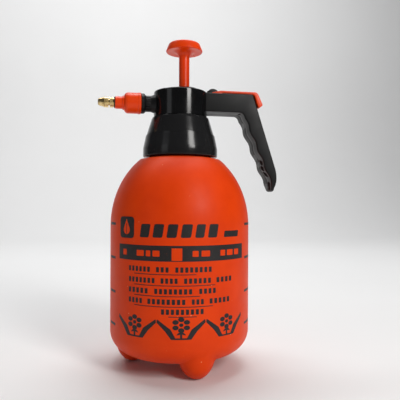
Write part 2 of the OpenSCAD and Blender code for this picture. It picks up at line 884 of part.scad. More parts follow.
module nozzle_cap() {
    groove = cap_start_d + 1.7;
    color(brass)
        nozzle_axis()
            difference() {
                rotate_extrude()
                    polygon(concat(
                        [[3.25, cap_start_d], [knurl_r, cap_start_d], [knurl_r, cap_knurl_end_d],
                         [cap_shoulder_r, cap_knurl_end_d + 0.3]],
                        arc(cap_tip_r - 0.9, cap_end_d - 1.6, 1.6, 20, 90, 5),
                        [[0.45, cap_end_d], [0.45, 74.4], [3.25, 73.2], [3.25, groove + 0.75],
                         [4.1, groove + 0.75], [4.1, groove - 0.75], [3.25, groove - 0.75]]));
                knurl_cuts(cap_start_d, cap_knurl_end_d - 0.6);
            }
}

bottle();
bottle_base();
bottle_shoulder();
neck_gasket();
screw_collar();
head_housing();
pump_barrel();
pump_cap();
cap_gasket();
barrel_end_cap();
check_valve();
piston();
piston_seal();
pump_rod();
plunger_knob();
dip_tube();
strainer();
feed_pipe();
delivery_pipe();
valve_body();
valve_gland();
stem_seal();
valve_stem();
valve_washer();
valve_spring();
handle_left();
handle_right();
handle_screws();
trigger();
pivot_pin();
outlet_tube();
union_washer();
union_nut();
nozzle_tube();
nozzle_body();
nozzle_seal();
cap_oring();
nozzle_cap();
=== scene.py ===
import json
import math

import bmesh
import bpy
from mathutils import Matrix, Vector
from mathutils.geometry import delaunay_2d_cdt


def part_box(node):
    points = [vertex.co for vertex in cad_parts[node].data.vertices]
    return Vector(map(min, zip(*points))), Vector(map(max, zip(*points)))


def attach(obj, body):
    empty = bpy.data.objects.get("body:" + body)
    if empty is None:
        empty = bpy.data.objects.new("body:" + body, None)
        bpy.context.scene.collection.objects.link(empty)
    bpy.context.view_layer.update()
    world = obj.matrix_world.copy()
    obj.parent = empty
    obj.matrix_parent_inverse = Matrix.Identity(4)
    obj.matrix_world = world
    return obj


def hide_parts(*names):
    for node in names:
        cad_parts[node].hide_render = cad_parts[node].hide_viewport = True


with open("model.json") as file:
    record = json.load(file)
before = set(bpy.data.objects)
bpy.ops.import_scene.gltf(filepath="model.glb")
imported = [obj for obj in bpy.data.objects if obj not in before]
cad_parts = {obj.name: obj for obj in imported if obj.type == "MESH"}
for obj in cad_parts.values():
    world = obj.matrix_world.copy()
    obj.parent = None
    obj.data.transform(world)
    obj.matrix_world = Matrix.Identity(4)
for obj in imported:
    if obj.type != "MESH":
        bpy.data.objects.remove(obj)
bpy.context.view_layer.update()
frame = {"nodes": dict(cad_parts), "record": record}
nodes = frame["nodes"]
MM = 0.001


# ---------------------------------------------------------------- measures from the frame, in mm

def span(node):
    """Lowest and highest corner of a CAD node, in mm."""
    low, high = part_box(node)
    return low / MM, high / MM


bottle_high = span("bottle")[1]
shoulder_high = span("bottle_shoulder")[1]
collar_low, collar_high = span("screw_collar")
head_high = span("head_housing")[1]
knob_low, knob_high = span("plunger_knob")
grip_low = span("handle_left")[0]
trigger_high = span("trigger")[1]
pin_low, pin_high = span("pivot_pin")
nut_low, nut_high = span("union_nut")
valve_low, valve_high = span("valve_body")

BOTTLE_R = bottle_high.x
SKIN = 0.1                       # room for the print between the drawn wall and the CAD's
SKIN_R = BOTTLE_R - SKIN
MOUTH_Z = shoulder_high.z
HEAD_R = head_high.x
PUMP_X = (knob_low.x + knob_high.x) / 2
NOZZLE_Z = (nut_low.z + nut_high.z) / 2
PIVOT_X = (pin_low.x + pin_high.x) / 2
PIVOT_Z = (pin_low.z + pin_high.z) / 2
VALVE_X = (valve_low.x + valve_high.x) / 2
HANDLE_HALF = -grip_low.y


# ---------------------------------------------------------------- outlines

def ellipse_arc(cx, cy, rx, ry, start, end, steps):
    """Points on an ellipse's arc, angles in degrees."""
    turns = [math.radians(start + (end - start) * i / steps) for i in range(steps + 1)]
    return [(cx + rx * math.cos(a), cy + ry * math.sin(a)) for a in turns]


def arc(cx, cy, r, start, end, steps):
    """Points on a circle's arc, angles in degrees."""
    return ellipse_arc(cx, cy, r, r, start, end, steps)


LEAST_TURN = 0.3                 # a corner that turns less, in radians, isn't rounded
MOST_CUT = 0.42                  # share of an edge that one rounded corner may take
MITRE_LIMIT = 0.35               # keeps a sharp corner's mitre short


def rounded(outline, radius, steps=4, closed=True):
    """Rounds each corner of an outline that turns enough."""
    made, n = [], len(outline)
    for i, point in enumerate(outline):
        here = Vector(point)
        if not closed and i in (0, n - 1):
            made.append(tuple(here))
            continue
        back = Vector(outline[i - 1]) - here
        on = Vector(outline[(i + 1) % n]) - here
        turn = math.pi - back.angle(on)
        if turn < LEAST_TURN:
            made.append(tuple(here))
            continue
        cut = min(radius * math.tan(turn / 2), MOST_CUT * back.length, MOST_CUT * on.length)
        a, b = here + back.normalized() * cut, here + on.normalized() * cut
        for k in range(steps + 1):
            t = k / steps
            made.append(tuple(a * (1 - t) ** 2 + here * 2 * t * (1 - t) + b * t ** 2))
    return made


def area(outline):
    """Signed area, above zero for an outline that runs anticlockwise."""
    return sum(a[0] * b[1] - b[0] * a[1]
               for a, b in zip(outline, outline[1:] + outline[:1])) / 2


def inset_loop(outline, amount):
    """The outline moved towards its left side, with mitred corners."""
    made, n = [], len(outline)
    for i in range(n):
        p, q, r = (Vector(outline[k % n]) for k in (i - 1, i, i + 1))
        first, second = (q - p).normalized(), (r - q).normalized()
        n1, n2 = Vector((-first.y, first.x)), Vector((-second.y, second.x))
        made.append(tuple(q + (n1 + n2) / max(1 + n1.dot(n2), MITRE_LIMIT) * amount))
    return made


# ---------------------------------------------------------------- meshes

WELD = 0.0004                    # points closer than this are joined
POLE_R = 1e-6                    # a ring smaller than this is one point


def piece(name, bm, body, replaced, material, sharp=40):
    """A smooth piece from a bmesh in mm, riding on its body, with the edges over sharp degrees kept."""
    bmesh.ops.remove_doubles(bm, verts=bm.verts, dist=WELD)
    bmesh.ops.scale(bm, vec=(MM, MM, MM), verts=bm.verts)
    bmesh.ops.recalc_face_normals(bm, faces=bm.faces)
    mesh = bpy.data.meshes.new(name)
    bm.to_mesh(mesh)
    bm.free()
    mesh.polygons.foreach_set("use_smooth", [True] * len(mesh.polygons))
    mesh.set_sharp_from_angle(angle=math.radians(sharp))
    obj = bpy.data.objects.new(name, mesh)
    bpy.context.scene.collection.objects.link(obj)
    mesh.materials.append(material)
    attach(obj, body)
    if replaced:
        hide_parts(*replaced)


def add_rings(bm, rings):
    """Joins rings of points into one skin. A ring of one point closes an end."""
    rows = [[bm.verts.new(p) for p in ring] for ring in rings]
    for low, high in zip(rows, rows[1:]):
        if len(low) == 1 and len(high) == 1:
            continue
        n = max(len(low), len(high))
        for j in range(n):
            k = (j + 1) % n
            if len(low) == 1:
                bm.faces.new((low[0], high[k], high[j]))
            elif len(high) == 1:
                bm.faces.new((low[j], low[k], high[0]))
            else:
                bm.faces.new((low[j], low[k], high[k], high[j]))
    return rows


def turned(bm, profile, place, sides=128):
    """Turns a profile of (radius, height) about an axis. place puts (x, y, height) in the frame.
    A profile that stays off the axis is closed from its last point to its first."""
    rings = []
    for r, h in profile:
        if r < POLE_R:
            rings.append([place(0, 0, h)])
            continue
        turns = [2 * math.pi * j / sides for j in range(sides)]
        rings.append([place(r * math.cos(a), r * math.sin(a), h) for a in turns])
    rows = add_rings(bm, rings)
    if all(r >= POLE_R for r, h in profile):
        for j in range(sides):
            k = (j + 1) % sides
            bm.faces.new((rows[-1][j], rows[-1][k], rows[0][k], rows[0][j]))


def upright(cx=0.0):
    """Stands a turned shape on a Z axis at x = cx."""
    return lambda x, y, h: (cx + x, y, h)


def along_nozzle(x, y, h):
    """Heights along the nozzle's axis are distances from the bottle's axis, towards -X."""
    return (-h, y, NOZZLE_Z + x)


def fill(bm, loops):
    """Fills flat loops of vertices, the first one outside and the others holes."""
    edges = []
    for loop in loops:
        for a, b in zip(loop, loop[1:] + loop[:1]):
            edges.append(bm.edges.get((a, b)) or bm.edges.new((a, b)))
    bmesh.ops.triangle_fill(bm, use_beauty=True, use_dissolve=False, edges=edges)


def plate(bm, outline, y_from, y_to, edge_from=0.0, edge_to=0.0, holes=(), steps=4):
    """A plate across Y between two places, from an outline in X and Z, with a rounded edge on each face."""
    loops = [outline if area(outline) > 0 else outline[::-1]]
    loops += [h if area(h) < 0 else h[::-1] for h in holes]
    turns = [math.pi / 2 * k / steps for k in range(steps + 1)]
    layers = [(y_from, 0.0)]
    if edge_from:
        layers = [(y_from + edge_from * (1 - math.cos(a)), edge_from * (1 - math.sin(a))) for a in turns]
    if edge_to:
        layers += [(y_to - edge_to * (1 - math.sin(a)), edge_to * (1 - math.cos(a))) for a in turns]
    else:
        layers.append((y_to, 0.0))
    ends = [[], []]
    for loop in loops:
        rows = []
        for y, t in layers:
            moved = inset_loop(loop, t) if t > 1e-6 else loop
            rows.append([bm.verts.new((x, y, z)) for x, z in moved])
        n = len(loop)
        for low, high in zip(rows, rows[1:]):
            for j in range(n):
                k = (j + 1) % n
                bm.faces.new((low[j], low[k], high[k], high[j]))
        ends[0].append(rows[0])
        ends[1].append(rows[-1])
    for end in ends:
        fill(bm, end)


# ---------------------------------------------------------------- materials

class Nodes:
    """Short ways to lay out one material's nodes."""

    def __init__(self, name):
        self.material = bpy.data.materials.new(name)
        self.material.use_nodes = True
        self.tree = self.material.node_tree
        self.shader = self.tree.nodes["Principled BSDF"]
        self.place = self.add("ShaderNodeTexCoord").outputs["Object"]

    def add(self, kind, **settings):
        made = self.tree.nodes.new(kind)
        for key, value in settings.items():
            setattr(made, key, value)
        return made

    def link(self, a, b):
        self.tree.links.new(a, b)

    def noise(self, scale, detail=3.0, rough=0.5, stretch=None):
        made = self.add("ShaderNodeTexNoise")
        made.inputs["Scale"].default_value = scale
        made.inputs["Detail"].default_value = detail
        made.inputs["Roughness"].default_value = rough
        source = self.place
        if stretch:
            mapping = self.add("ShaderNodeMapping")
            mapping.inputs["Scale"].default_value = stretch
            self.link(source, mapping.inputs["Vector"])
            source = mapping.outputs["Vector"]
        self.link(source, made.inputs["Vector"])
        return made.outputs["Fac"]

    def specks(self, scale, size):
        """Small round spots, one in each cell."""
        cells = self.add("ShaderNodeTexVoronoi")
        cells.inputs["Scale"].default_value = scale
        self.link(self.place, cells.inputs["Vector"])
        return self.ramp(cells.outputs["Distance"], size * 0.5, size, 1.0, 0.0)

    def ramp(self, source, low, high, at_low=0.0, at_high=1.0):
        made = self.add("ShaderNodeMapRange")
        made.inputs["From Min"].default_value = low
        made.inputs["From Max"].default_value = high
        made.inputs["To Min"].default_value = at_low
        made.inputs["To Max"].default_value = at_high
        self.link(source, made.inputs["Value"])
        return made.outputs["Result"]

    def times(self, a, b):
        made = self.add("ShaderNodeMath", operation="MULTIPLY")
        self.link(a, made.inputs[0])
        self.link(b, made.inputs[1])
        return made.outputs["Value"]

    def mix(self, share, a, b):
        made = self.add("ShaderNodeMix", data_type="RGBA")
        self.link(share, made.inputs[0])
        for socket, value in ((made.inputs[6], a), (made.inputs[7], b)):
            if isinstance(value, tuple):
                socket.default_value = (*value, 1.0)
            else:
                self.link(value, socket)
        return made.outputs[2]

    def edges(self, low=0.54, high=0.64):
        """1 on outward edges, where a thing gets rubbed."""
        return self.ramp(self.add("ShaderNodeNewGeometry").outputs["Pointiness"], low, high)

    def bump(self, *layers):
        """Stacks bumps, each (height, distance in mm, strength)."""
        last = None
        for height, distance, strength in layers:
            made = self.add("ShaderNodeBump")
            made.inputs["Strength"].default_value = strength
            made.inputs["Distance"].default_value = distance * MM
            self.link(height, made.inputs["Height"])
            if last:
                self.link(last, made.inputs["Normal"])
            last = made.outputs["Normal"]
        self.link(last, self.shader.inputs["Normal"])

    def finish(self, colour, rough, **constants):
        self.link(colour, self.shader.inputs["Base Color"])
        self.link(rough, self.shader.inputs["Roughness"])
        for key, value in constants.items():
            self.shader.inputs[key.replace("_", " ")].default_value = value
        return self.material


def moulded(name, dark, light, rough, grain, dust=None, gloss=0.5, wear=None, grain_depth=0.03, flow=0.08,
            **constants):
    """Moulded plastic: slow colour drift, grain and flow lines, with rubbed edges and specks of dust."""
    n = Nodes(name)
    drift = n.noise(28, 4, 0.55)
    colour = n.mix(n.ramp(drift, 0.35, 0.65), dark, light)
    if wear:
        colour = n.mix(n.times(n.edges(), n.ramp(n.noise(240, 4), 0.4, 0.65)), colour, wear)
    if dust:
        spots = n.times(n.specks(150, 0.085), n.ramp(n.noise(60, 2), 0.5, 0.62))
        colour = n.mix(spots, colour, dust)
    shine = n.ramp(n.noise(90, 5, 0.6), 0.3, 0.7, rough[0], rough[1])
    n.bump((n.noise(22, 2), flow, 0.25), (n.noise(grain, 3, 0.6), grain_depth, 0.6))
    return n.finish(colour, shine, Specular_IOR_Level=gloss, **constants)


def metal(name, dark, light, rough, lines):
    """Turned or plated metal: bright, with fine tool lines and a little tarnish."""
    n = Nodes(name)
    colour = n.mix(n.ramp(n.noise(160, 5, 0.6), 0.38, 0.66), dark, light)
    colour = n.mix(n.edges(0.53, 0.62), colour, tuple(min(1.0, c * 1.25) for c in light))
    shine = n.ramp(n.noise(320, 4), 0.3, 0.7, rough[0], rough[1])
    n.bump((n.noise(700, 2, 0.5, stretch=lines), 0.03, 0.5), (n.noise(2200, 2), 0.01, 0.3))
    return n.finish(colour, shine, Metallic=1.0)


orange_bottle = moulded(
    "orange_bottle", (0.76, 0.046, 0.0008), (0.84, 0.058, 0.0014), (0.40, 0.50), 900,
    dust=(0.85, 0.34, 0.16), gloss=0.15, grain_depth=0.02)
orange_moulding = moulded(
    "orange_moulding", (0.80, 0.046, 0.001), (0.87, 0.060, 0.002), (0.26, 0.38), 1400,
    wear=(0.90, 0.12, 0.02), gloss=0.26, grain_depth=0.01, flow=0.03)
black_gloss = moulded(
    "black_gloss", (0.0026, 0.0026, 0.0030), (0.0046, 0.0046, 0.0050), (0.10, 0.20), 1600,
    dust=(0.07, 0.07, 0.07), wear=(0.012, 0.012, 0.012), gloss=0.42, grain_depth=0.004, flow=0.02)
black_satin = moulded(
    "black_satin", (0.0100, 0.0100, 0.0104), (0.0140, 0.0140, 0.0146), (0.13, 0.20), 1300,
    dust=(0.07, 0.07, 0.07), wear=(0.022, 0.022, 0.022), gloss=0.32, grain_depth=0.008, flow=0.03)
handle_grey = moulded(
    "handle_grey", (0.0036, 0.0036, 0.0040), (0.0062, 0.0062, 0.0068), (0.36, 0.48), 1500,
    gloss=0.22, grain_depth=0.02, flow=0.06)
rubber = moulded(
    "rubber", (0.010, 0.010, 0.010), (0.018, 0.018, 0.018), (0.62, 0.80), 900, gloss=0.3)
natural_plastic = moulded(
    "natural_plastic", (0.72, 0.70, 0.63), (0.80, 0.78, 0.72), (0.30, 0.42), 700,
    gloss=0.5, Subsurface_Weight=0.15)
brass = metal("brass", (0.42, 0.28, 0.10), (0.83, 0.64, 0.32), (0.16, 0.34), (6, 0.2, 0.2))
steel = metal("steel", (0.42, 0.42, 0.44), (0.66, 0.66, 0.68), (0.22, 0.40), (0.2, 0.2, 4))


def print_ink():
    """Screen-printed ink: flat black, a little thin and worn in places."""
    n = Nodes("print_ink")
    worn = n.ramp(n.noise(420, 5, 0.7), 0.60, 0.74)
    colour = n.mix(worn, (0.012, 0.010, 0.010), (0.09, 0.020, 0.008))
    shine = n.ramp(n.noise(150, 4), 0.3, 0.7, 0.42, 0.58)
    n.bump((n.noise(1500, 3), 0.01, 0.4))
    return n.finish(colour, shine, Specular_IOR_Level=0.4)


ink = print_ink()
MATERIALS = {
    "orange_bottle": orange_bottle, "orange_moulding": orange_moulding, "black_gloss": black_gloss,
    "black_satin": black_satin, "handle_grey": handle_grey, "rubber": rubber,
    "natural_plastic": natural_plastic, "brass": brass, "steel": steel,
}


def dress_cad_nodes():
    """Each CAD node that stays gets its slot's material."""
    for part in frame["record"]["subparts"]:
        mesh = nodes[part["node"]].data
        mesh.materials.clear()
        mesh.materials.append(MATERIALS[part["material_slot"]])


# ---------------------------------------------------------------- bottle

WALL = 1.6
BASE_Z = 13.7
CORNER_R = 20.0
SHOULDER_Z = 128.0
SHOULDER_H = 75.0
SHOULDER_END_R = 37.5
NECK_ROOT_R, NECK_ROOT_Z = 29.5, 190.6
NECK_R, MOUTH_R, NECK_FILLET = 27.0, 24.6, 2.4
THREAD_R, THREAD_Z, THREAD_PITCH, THREAD_TURNS = 28.4, 197.5, 3.6, 3
# Half a thread ridge, as radius and height from the ridge's middle
THREAD_EDGE = ((NECK_R, 1.3), (THREAD_R - 0.3, 0.85), (THREAD_R, 0.4))
# The lip's rounded edge, as distance in from the wall and down from the mouth
LIP_EDGE = ((0.0, 0.5), (0.15, 0.12), (0.5, 0.0))
FOOT_RING_R, FOOT_R, FOOT_H, FOOT_SINK = 45.0, 16.0, 22.0, 0.4
FOOT_BLEND = 3.4                 # height over which a foot blends into the base
FOOT_TURN = 10.7
LOBE_REACH, LOBE_RISE = 1.12, 40 # how far past its edge a foot still counts, and how fast it rises there
BOTTLE_SIDES = 288
BASE_ROWS, CORNER_ROWS, WALL_ROWS, SHOULDER_ROWS, FILLET_ROWS = 44, 30, 24, 36, 6


def foot_places():
    """Middles of the three feet, one of them at the front."""
    return [(FOOT_RING_R * math.cos(math.radians(FOOT_TURN - 90 + 120 * i)),
             FOOT_RING_R * math.sin(math.radians(FOOT_TURN - 90 + 120 * i))) for i in range(3)]


def with_feet(x, y, z, t, low):
    """Height of the bottle's underside at a place, with the foot lobes blended in."""
    rise = FOOT_H - FOOT_SINK
    for fx, fy in foot_places():
        d = math.hypot(x - fx, y - fy) / (FOOT_R - t)
        if d >= LOBE_REACH:
            continue
        lobe = rise - (FOOT_H - t) * math.sqrt(max(0.0, 1 - min(d, 1.0) ** 2))
        lobe += max(0.0, d - 1.0) * LOBE_RISE
        h = max(FOOT_BLEND - abs(z - lobe), 0.0) / FOOT_BLEND
        z = min(z, lobe) - h * h * FOOT_BLEND / 4
    return max(z, low)


def bottle_rows(t, neck):
    """Half outline of the bottle from its base's middle to its neck, moved inwards by t.
    Each row is (r, z, whether it is in the base)."""
    r, flat, corner_z = SKIN_R, SKIN_R - CORNER_R, BASE_Z + CORNER_R
    rows = [(0.0, BASE_Z + t, True)]
    rows += [(flat * i / BASE_ROWS, BASE_Z + t, True) for i in range(1, BASE_ROWS)]
    rows += [(x, z, True) for x, z in arc(flat, corner_z, CORNER_R - t, -90, 0, CORNER_ROWS)]
    wall_h = SHOULDER_Z - BASE_Z - CORNER_R
    rows += [(r - t, corner_z + wall_h * i / WALL_ROWS, False) for i in range(1, WALL_ROWS)]
    end = math.degrees(math.acos(SHOULDER_END_R / BOTTLE_R))
    shoulder = ellipse_arc(0, SHOULDER_Z, r - t, SHOULDER_H - t, 0, end, SHOULDER_ROWS)
    rows += [(x, z, False) for x, z in shoulder]
    rows += [(NECK_ROOT_R - t, NECK_ROOT_Z - t, False)]
    fillet = arc(neck + NECK_FILLET + t, NECK_ROOT_Z - t + NECK_FILLET, NECK_FILLET + t, -100, -180,
                 FILLET_ROWS)
    return rows + [(x, z, False) for x, z in fillet]


def make_bottle():
    """The blown bottle, inside and outside in one skin, with its feet, thread ridges and lip."""
    outside = bottle_rows(0.0, NECK_R)
    for i in range(THREAD_TURNS):
        middle = THREAD_Z + i * THREAD_PITCH
        outside += [(r, middle - h, False) for r, h in THREAD_EDGE]
        outside += [(r, middle + h, False) for r, h in THREAD_EDGE[::-1]]
    outside += [(NECK_R - i, MOUTH_Z - d, False) for i, d in LIP_EDGE]
    outside += [(MOUTH_R + i, MOUTH_Z - d, False) for i, d in LIP_EDGE[::-1]]
    inside = bottle_rows(WALL, MOUTH_R)[::-1]
    rings = []
    for t, low, rows in ((0.0, 0.0, outside), (WALL, WALL, inside)):
        for r, z, base in rows:
            if r < POLE_R:
                rings.append([(0.0, 0.0, z)])
                continue
            ring = []
            for j in range(BOTTLE_SIDES):
                a = 2 * math.pi * j / BOTTLE_SIDES
                x, y = r * math.cos(a), r * math.sin(a)
                ring.append((x, y, with_feet(x, y, z, t, low) if base else z))
            rings.append(ring)
    bm = bmesh.new()
    add_rings(bm, rings)
    piece("bottle_body", bm, "bottle", ["bottle", "bottle_base", "bottle_shoulder"],
          orange_bottle)


# ---------------------------------------------------------------- the print on the bottle

PRINT_MIDDLE = math.radians(-6.1)        # the print's middle, from -Y towards +X
BAND_HALF = 62.0
BAND_Z = (101.4, 114.2)
GAP_S = (-9.0, -0.4)
MARK_Z = (119.4, 137.2)
MARK_S = (-60.5, -43.0)
PRINT_DEEP = 0.16                        # how far the print's pieces reach into the skin
INK_OUT, MARK_OUT = 0.07, 0.095          # how far ink, and light marks over it, stand out from the skin
COLUMN = 1.6                             # a printed shape is cut into columns about this wide


def wrapped(s, z, out):
    """A place on the bottle's round wall: s along it, z up, out from the skin."""
    a = PRINT_MIDDLE + s / BOTTLE_R
    return ((SKIN_R + out) * math.sin(a), -(SKIN_R + out) * math.cos(a), z)


def print_shape(bm, outline, out=INK_OUT):
    """One closed printed shape, wrapped on the bottle's wall, fine enough to follow its curve."""
    low = min(p[0] for p in outline)
    high = max(p[0] for p in outline)
    if area(outline) < 0:
        outline = outline[::-1]
    cuts = max(1, int((high - low) / COLUMN))
    columns = [low + (high - low) * i / cuts for i in range(1, cuts)]
    dense, crossings = [], {}
    for a, b in zip(outline, outline[1:] + outline[:1]):
        dense.append(a)
        on_edge = sorted(((c - a[0]) / (b[0] - a[0]), c) for c in columns
                         if min(a[0], b[0]) < c < max(a[0], b[0]) and abs(a[0] - b[0]) > 1e-6)
        for t, c in on_edge:
            crossings.setdefault(c, []).append(len(dense))
            dense.append((c, a[1] + (b[1] - a[1]) * t))
    n = len(dense)
    lines = [(i, (i + 1) % n) for i in range(n)]
    for found in crossings.values():
        found.sort(key=lambda i: dense[i][1])
        lines += list(zip(found[::2], found[1::2]))
    flat, edges, faces = delaunay_2d_cdt([Vector(p) for p in dense], lines, [], 1, 1e-5)[:3]
    top = [bm.verts.new(wrapped(p.x, p.y, out)) for p in flat]
    bottom = [bm.verts.new(wrapped(p.x, p.y, -PRINT_DEEP)) for p in flat]
    used = {}
    for face in faces:
        bm.faces.new([top[i] for i in face])
        bm.faces.new([bottom[i] for i in reversed(face)])
        for a, b in zip(face, face[1:] + face[:1]):
            used[(a, b)] = used.get((a, b), 0) + 1
    for a, b in used:
        if (b, a) not in used:
            bm.faces.new((top[b], top[a], bottom[a], bottom[b]))
    spare = [v for v in top + bottom if not v.link_faces]
    bmesh.ops.delete(bm, geom=spare, context="VERTS")


def bar(s0, z0, s1, z1, r=0.4):
    """A rounded rectangle between two corners."""
    return rounded([(s0, z0), (s1, z0), (s1, z1), (s0, z1)], r, 3)


def lean(outline, amount, z0):
    """Slants a shape, by amount for each mm above z0."""
    return [(s + amount * (z - z0), z) for s, z in outline]


def band(bm):
    """Dark band round the front."""
    print_shape(bm, bar(-BAND_HALF, BAND_Z[0], BAND_HALF, BAND_Z[1], 0.5))


BAND_DASHES = ((-56, -51.5), (-40, -33), (-31, -27), (-25, -19),
               (8, 13), (15.5, 23), (33, 38), (40, 47), (49, 55))
TITLE_LEFT, TITLE_Z, TITLE_TOP_Z = -37.0, 120.6, 131.6
TITLE_BLOCKS, TITLE_GAP, TITLE_LEAN = (8.4, 8.4, 8.2, 8.4, 7.6, 8.4), 3.4, 0.16
RULE_S, RULE_H = (36.5, 54), 5.2


def band_marks(bm):
    """A light square in the band and plain light dashes where the capacity would stand."""
    z0, z1 = BAND_Z
    print_shape(bm, bar(GAP_S[0], z0 + 0.7, GAP_S[1], z1 - 2.0, 0.3), MARK_OUT)
    for s0, s1 in BAND_DASHES:
        print_shape(bm, bar(s0, z0 + 3.9, s1, z1 - 4.1, 0.6), MARK_OUT)


def title_bars(bm):
    """A plain row of slanted blocks in place of a name, with a short bar after it."""
    s = TITLE_LEFT
    for w in TITLE_BLOCKS:
        print_shape(bm, lean(bar(s, TITLE_Z, s + w, TITLE_TOP_Z, 1.4), TITLE_LEAN, TITLE_Z))
        s += w + TITLE_GAP
    print_shape(bm, lean(bar(RULE_S[0], TITLE_Z, RULE_S[1], TITLE_Z + RULE_H, 0.8), TITLE_LEAN, TITLE_Z))


def drop_outline(s, z, r):
    """A plain drop with its point up."""
    return arc(s, z, r, -215, 35, 18) + [(s, z + 2.3 * r)]


def emblem(bm):
    """A plain rounded square in place of a mark."""
    print_shape(bm, bar(MARK_S[0], MARK_Z[0], MARK_S[1], MARK_Z[1], 3.2))


def emblem_drop(bm):
    """A light drop on the emblem."""
    middle = (MARK_S[0] + MARK_S[1]) / 2
    print_shape(bm, drop_outline(middle, MARK_Z[0] + 7.0, 3.9), MARK_OUT)


LINES = (                                  # left end, right end, foot of the line
    (-48.5, 26.0, 92.6), (-48.5, 47.0, 83.6), (-48.5, 30.0, 75.0), (-48.5, 44.5, 66.6), (-17.5, 19.0, 58.6))
WORDS = ((17, 9, 24), (21, 12, 19, 14), (14, 22, 11), (12, 26, 9, 17), (31,))      # their widths, in shares
WORD_GAP = 3.0
DASH_PITCH, DASH_SHARE, DASH_H = 4.1, 0.62, 4.3
UNDER_Z = (-2.1, -1.5)                     # the thin rule below a line


def text_lines(bm):
    """Rows of plain dashes in place of the wording, each with a thin rule below."""
    for (left, right, z), words in zip(LINES, WORDS):
        whole = sum(words) + WORD_GAP * (len(words) - 1)
        scale = (right - left) / whole
        s = left
        for w in words:
            count = max(1, round(w * scale / DASH_PITCH))
            step = (w * scale) / count
            for i in range(count):
                print_shape(bm, bar(s + i * step, z, s + i * step + step * DASH_SHARE, z + DASH_H, 0.5))
            s += (w + WORD_GAP) * scale
        print_shape(bm, bar(left + 6, z + UNDER_Z[0], right - (right - left) * 0.2, z + UNDER_Z[1], 0.2))


FLOWER_S = (-42.0, -1.0, 40.0)
FLOWER_Z = 50.4
PETAL_RING, PETAL, FLOWER_MIDDLE = (5.3, 4.4), (2.6, 1.95), (1.9, 1.6)    # half widths and half heights
LEAF_Z = 38.5
LEAF = ((4.0, 0), (8.6, 8.2), (19.9, 16.2), (20.3, 13.4), (13.2, 6.6), (8.2, 0))
SEPALS = ((-4.4, 3.4), (-2.0, 5.8), (2.0, 5.8), (4.4, 3.4), (0.0, 4.4))


def flowers(bm):
    """Three plain flowers, each a ring of petals round a six-sided middle."""
    for s in FLOWER_S:
        for cs, cz in ellipse_arc(s, FLOWER_Z, *PETAL_RING, 30, 330, 5):
            print_shape(bm, ellipse_arc(cs, cz, *PETAL, 0, 336, 14))
        print_shape(bm, ellipse_arc(s, FLOWER_Z, *FLOWER_MIDDLE, 0, 300, 5))


def leaves(bm):
    """A border of plain pointed leaves that rise and fall between the flowers."""
    for s in FLOWER_S:
        for side in (-1, 1):
            print_shape(bm, rounded([(s + side * x, LEAF_Z + z) for x, z in LEAF], 0.5, 2))
        print_shape(bm, bar(s - 5.6, LEAF_Z, s + 5.6, LEAF_Z + 1.3, 0.3))
        print_shape(bm, bar(s - 0.9, LEAF_Z + 1.2, s + 0.9, FLOWER_Z - 5.6, 0.3))
        print_shape(bm, rounded([(s + x, LEAF_Z + z) for x, z in SEPALS], 0.5, 3))


TICK_Z = (130.6, 101.3, 71.8, 43.4)
TICK_S = ((-84.0, -69.8), (67.5, 84.0))
TICK_HALF = 1.1


def level_ticks(bm):
    """Level marks at both sides of the print."""
    for z in TICK_Z:
        for s0, s1 in TICK_S:
            print_shape(bm, bar(s0, z - TICK_HALF, s1, z + TICK_HALF, 0.4))


def make_print():
    """The print, as one piece for each of its parts."""
    for name, makers, material in (
            ("print_band", (band,), ink),
            ("print_title", (title_bars,), ink),
            ("print_emblem", (emblem,), ink),
            ("print_lines", (text_lines,), ink),
            ("print_flowers", (flowers, leaves), ink),
            ("print_level_marks", (level_ticks,), ink),
            ("print_light_marks", (band_marks, emblem_drop), orange_bottle)):
        bm = bmesh.new()
        for maker in makers:
            maker(bm)
        piece(name, bm, "bottle", (), material, sharp=50)


# ---------------------------------------------------------------- collar, head and pump

COLLAR_BORE_R, COLLAR_HOLE_R, COLLAR_LEDGE_Z = 28.9, 22.3, 213.0
COLLAR_SKIRT_Z, COLLAR_STEP_Z = 199.0, 211.5
COLLAR_STEP_LOW_R, COLLAR_STEP_HIGH_R, COLLAR_TOP_R = 32.1, 31.4, 26.4
COLLAR_FOOT_R, COLLAR_RIM_R = 1.2, 0.6
SKIRT_DROP, LEDGE_DROP = 0.5, 0.45         # where the skirt ends and the ledge starts, below the step
SKIRT_ROWS, UPPER_ROWS = 14, 16            # rows that keep the rubbed look at the edges


def make_collar():
    """Screw collar: two straight tiers with a step between them, and a ledge inside."""
    r, low, top = collar_high.x, collar_low.z, collar_high.z
    skirt_h, upper_h = COLLAR_STEP_Z - SKIRT_DROP - COLLAR_SKIRT_Z, top - COLLAR_STEP_Z
    skirt_in, upper_in = r - COLLAR_STEP_LOW_R, COLLAR_STEP_HIGH_R - COLLAR_TOP_R
    profile = [(COLLAR_BORE_R, low)] + arc(r - COLLAR_FOOT_R, low + COLLAR_FOOT_R, COLLAR_FOOT_R, -90, 0, 6)
    profile += [(r - skirt_in * i / SKIRT_ROWS, COLLAR_SKIRT_Z + skirt_h * i / SKIRT_ROWS)
                for i in range(SKIRT_ROWS + 1)]
    profile += [(COLLAR_STEP_HIGH_R, COLLAR_STEP_Z - LEDGE_DROP)]
    profile += [(COLLAR_STEP_HIGH_R - upper_in * i / UPPER_ROWS, COLLAR_STEP_Z + upper_h * i / UPPER_ROWS)
                for i in range(UPPER_ROWS)]
    profile += arc(COLLAR_TOP_R - COLLAR_RIM_R, top - COLLAR_RIM_R, COLLAR_RIM_R, 8, 90, 4)
    profile += [(COLLAR_HOLE_R, top), (COLLAR_HOLE_R, COLLAR_LEDGE_Z), (COLLAR_BORE_R, COLLAR_LEDGE_Z)]
    bm = bmesh.new()
    turned(bm, profile, upright(), 192)
    piece("collar_ring", bm, "collar", ["screw_collar"], black_satin)


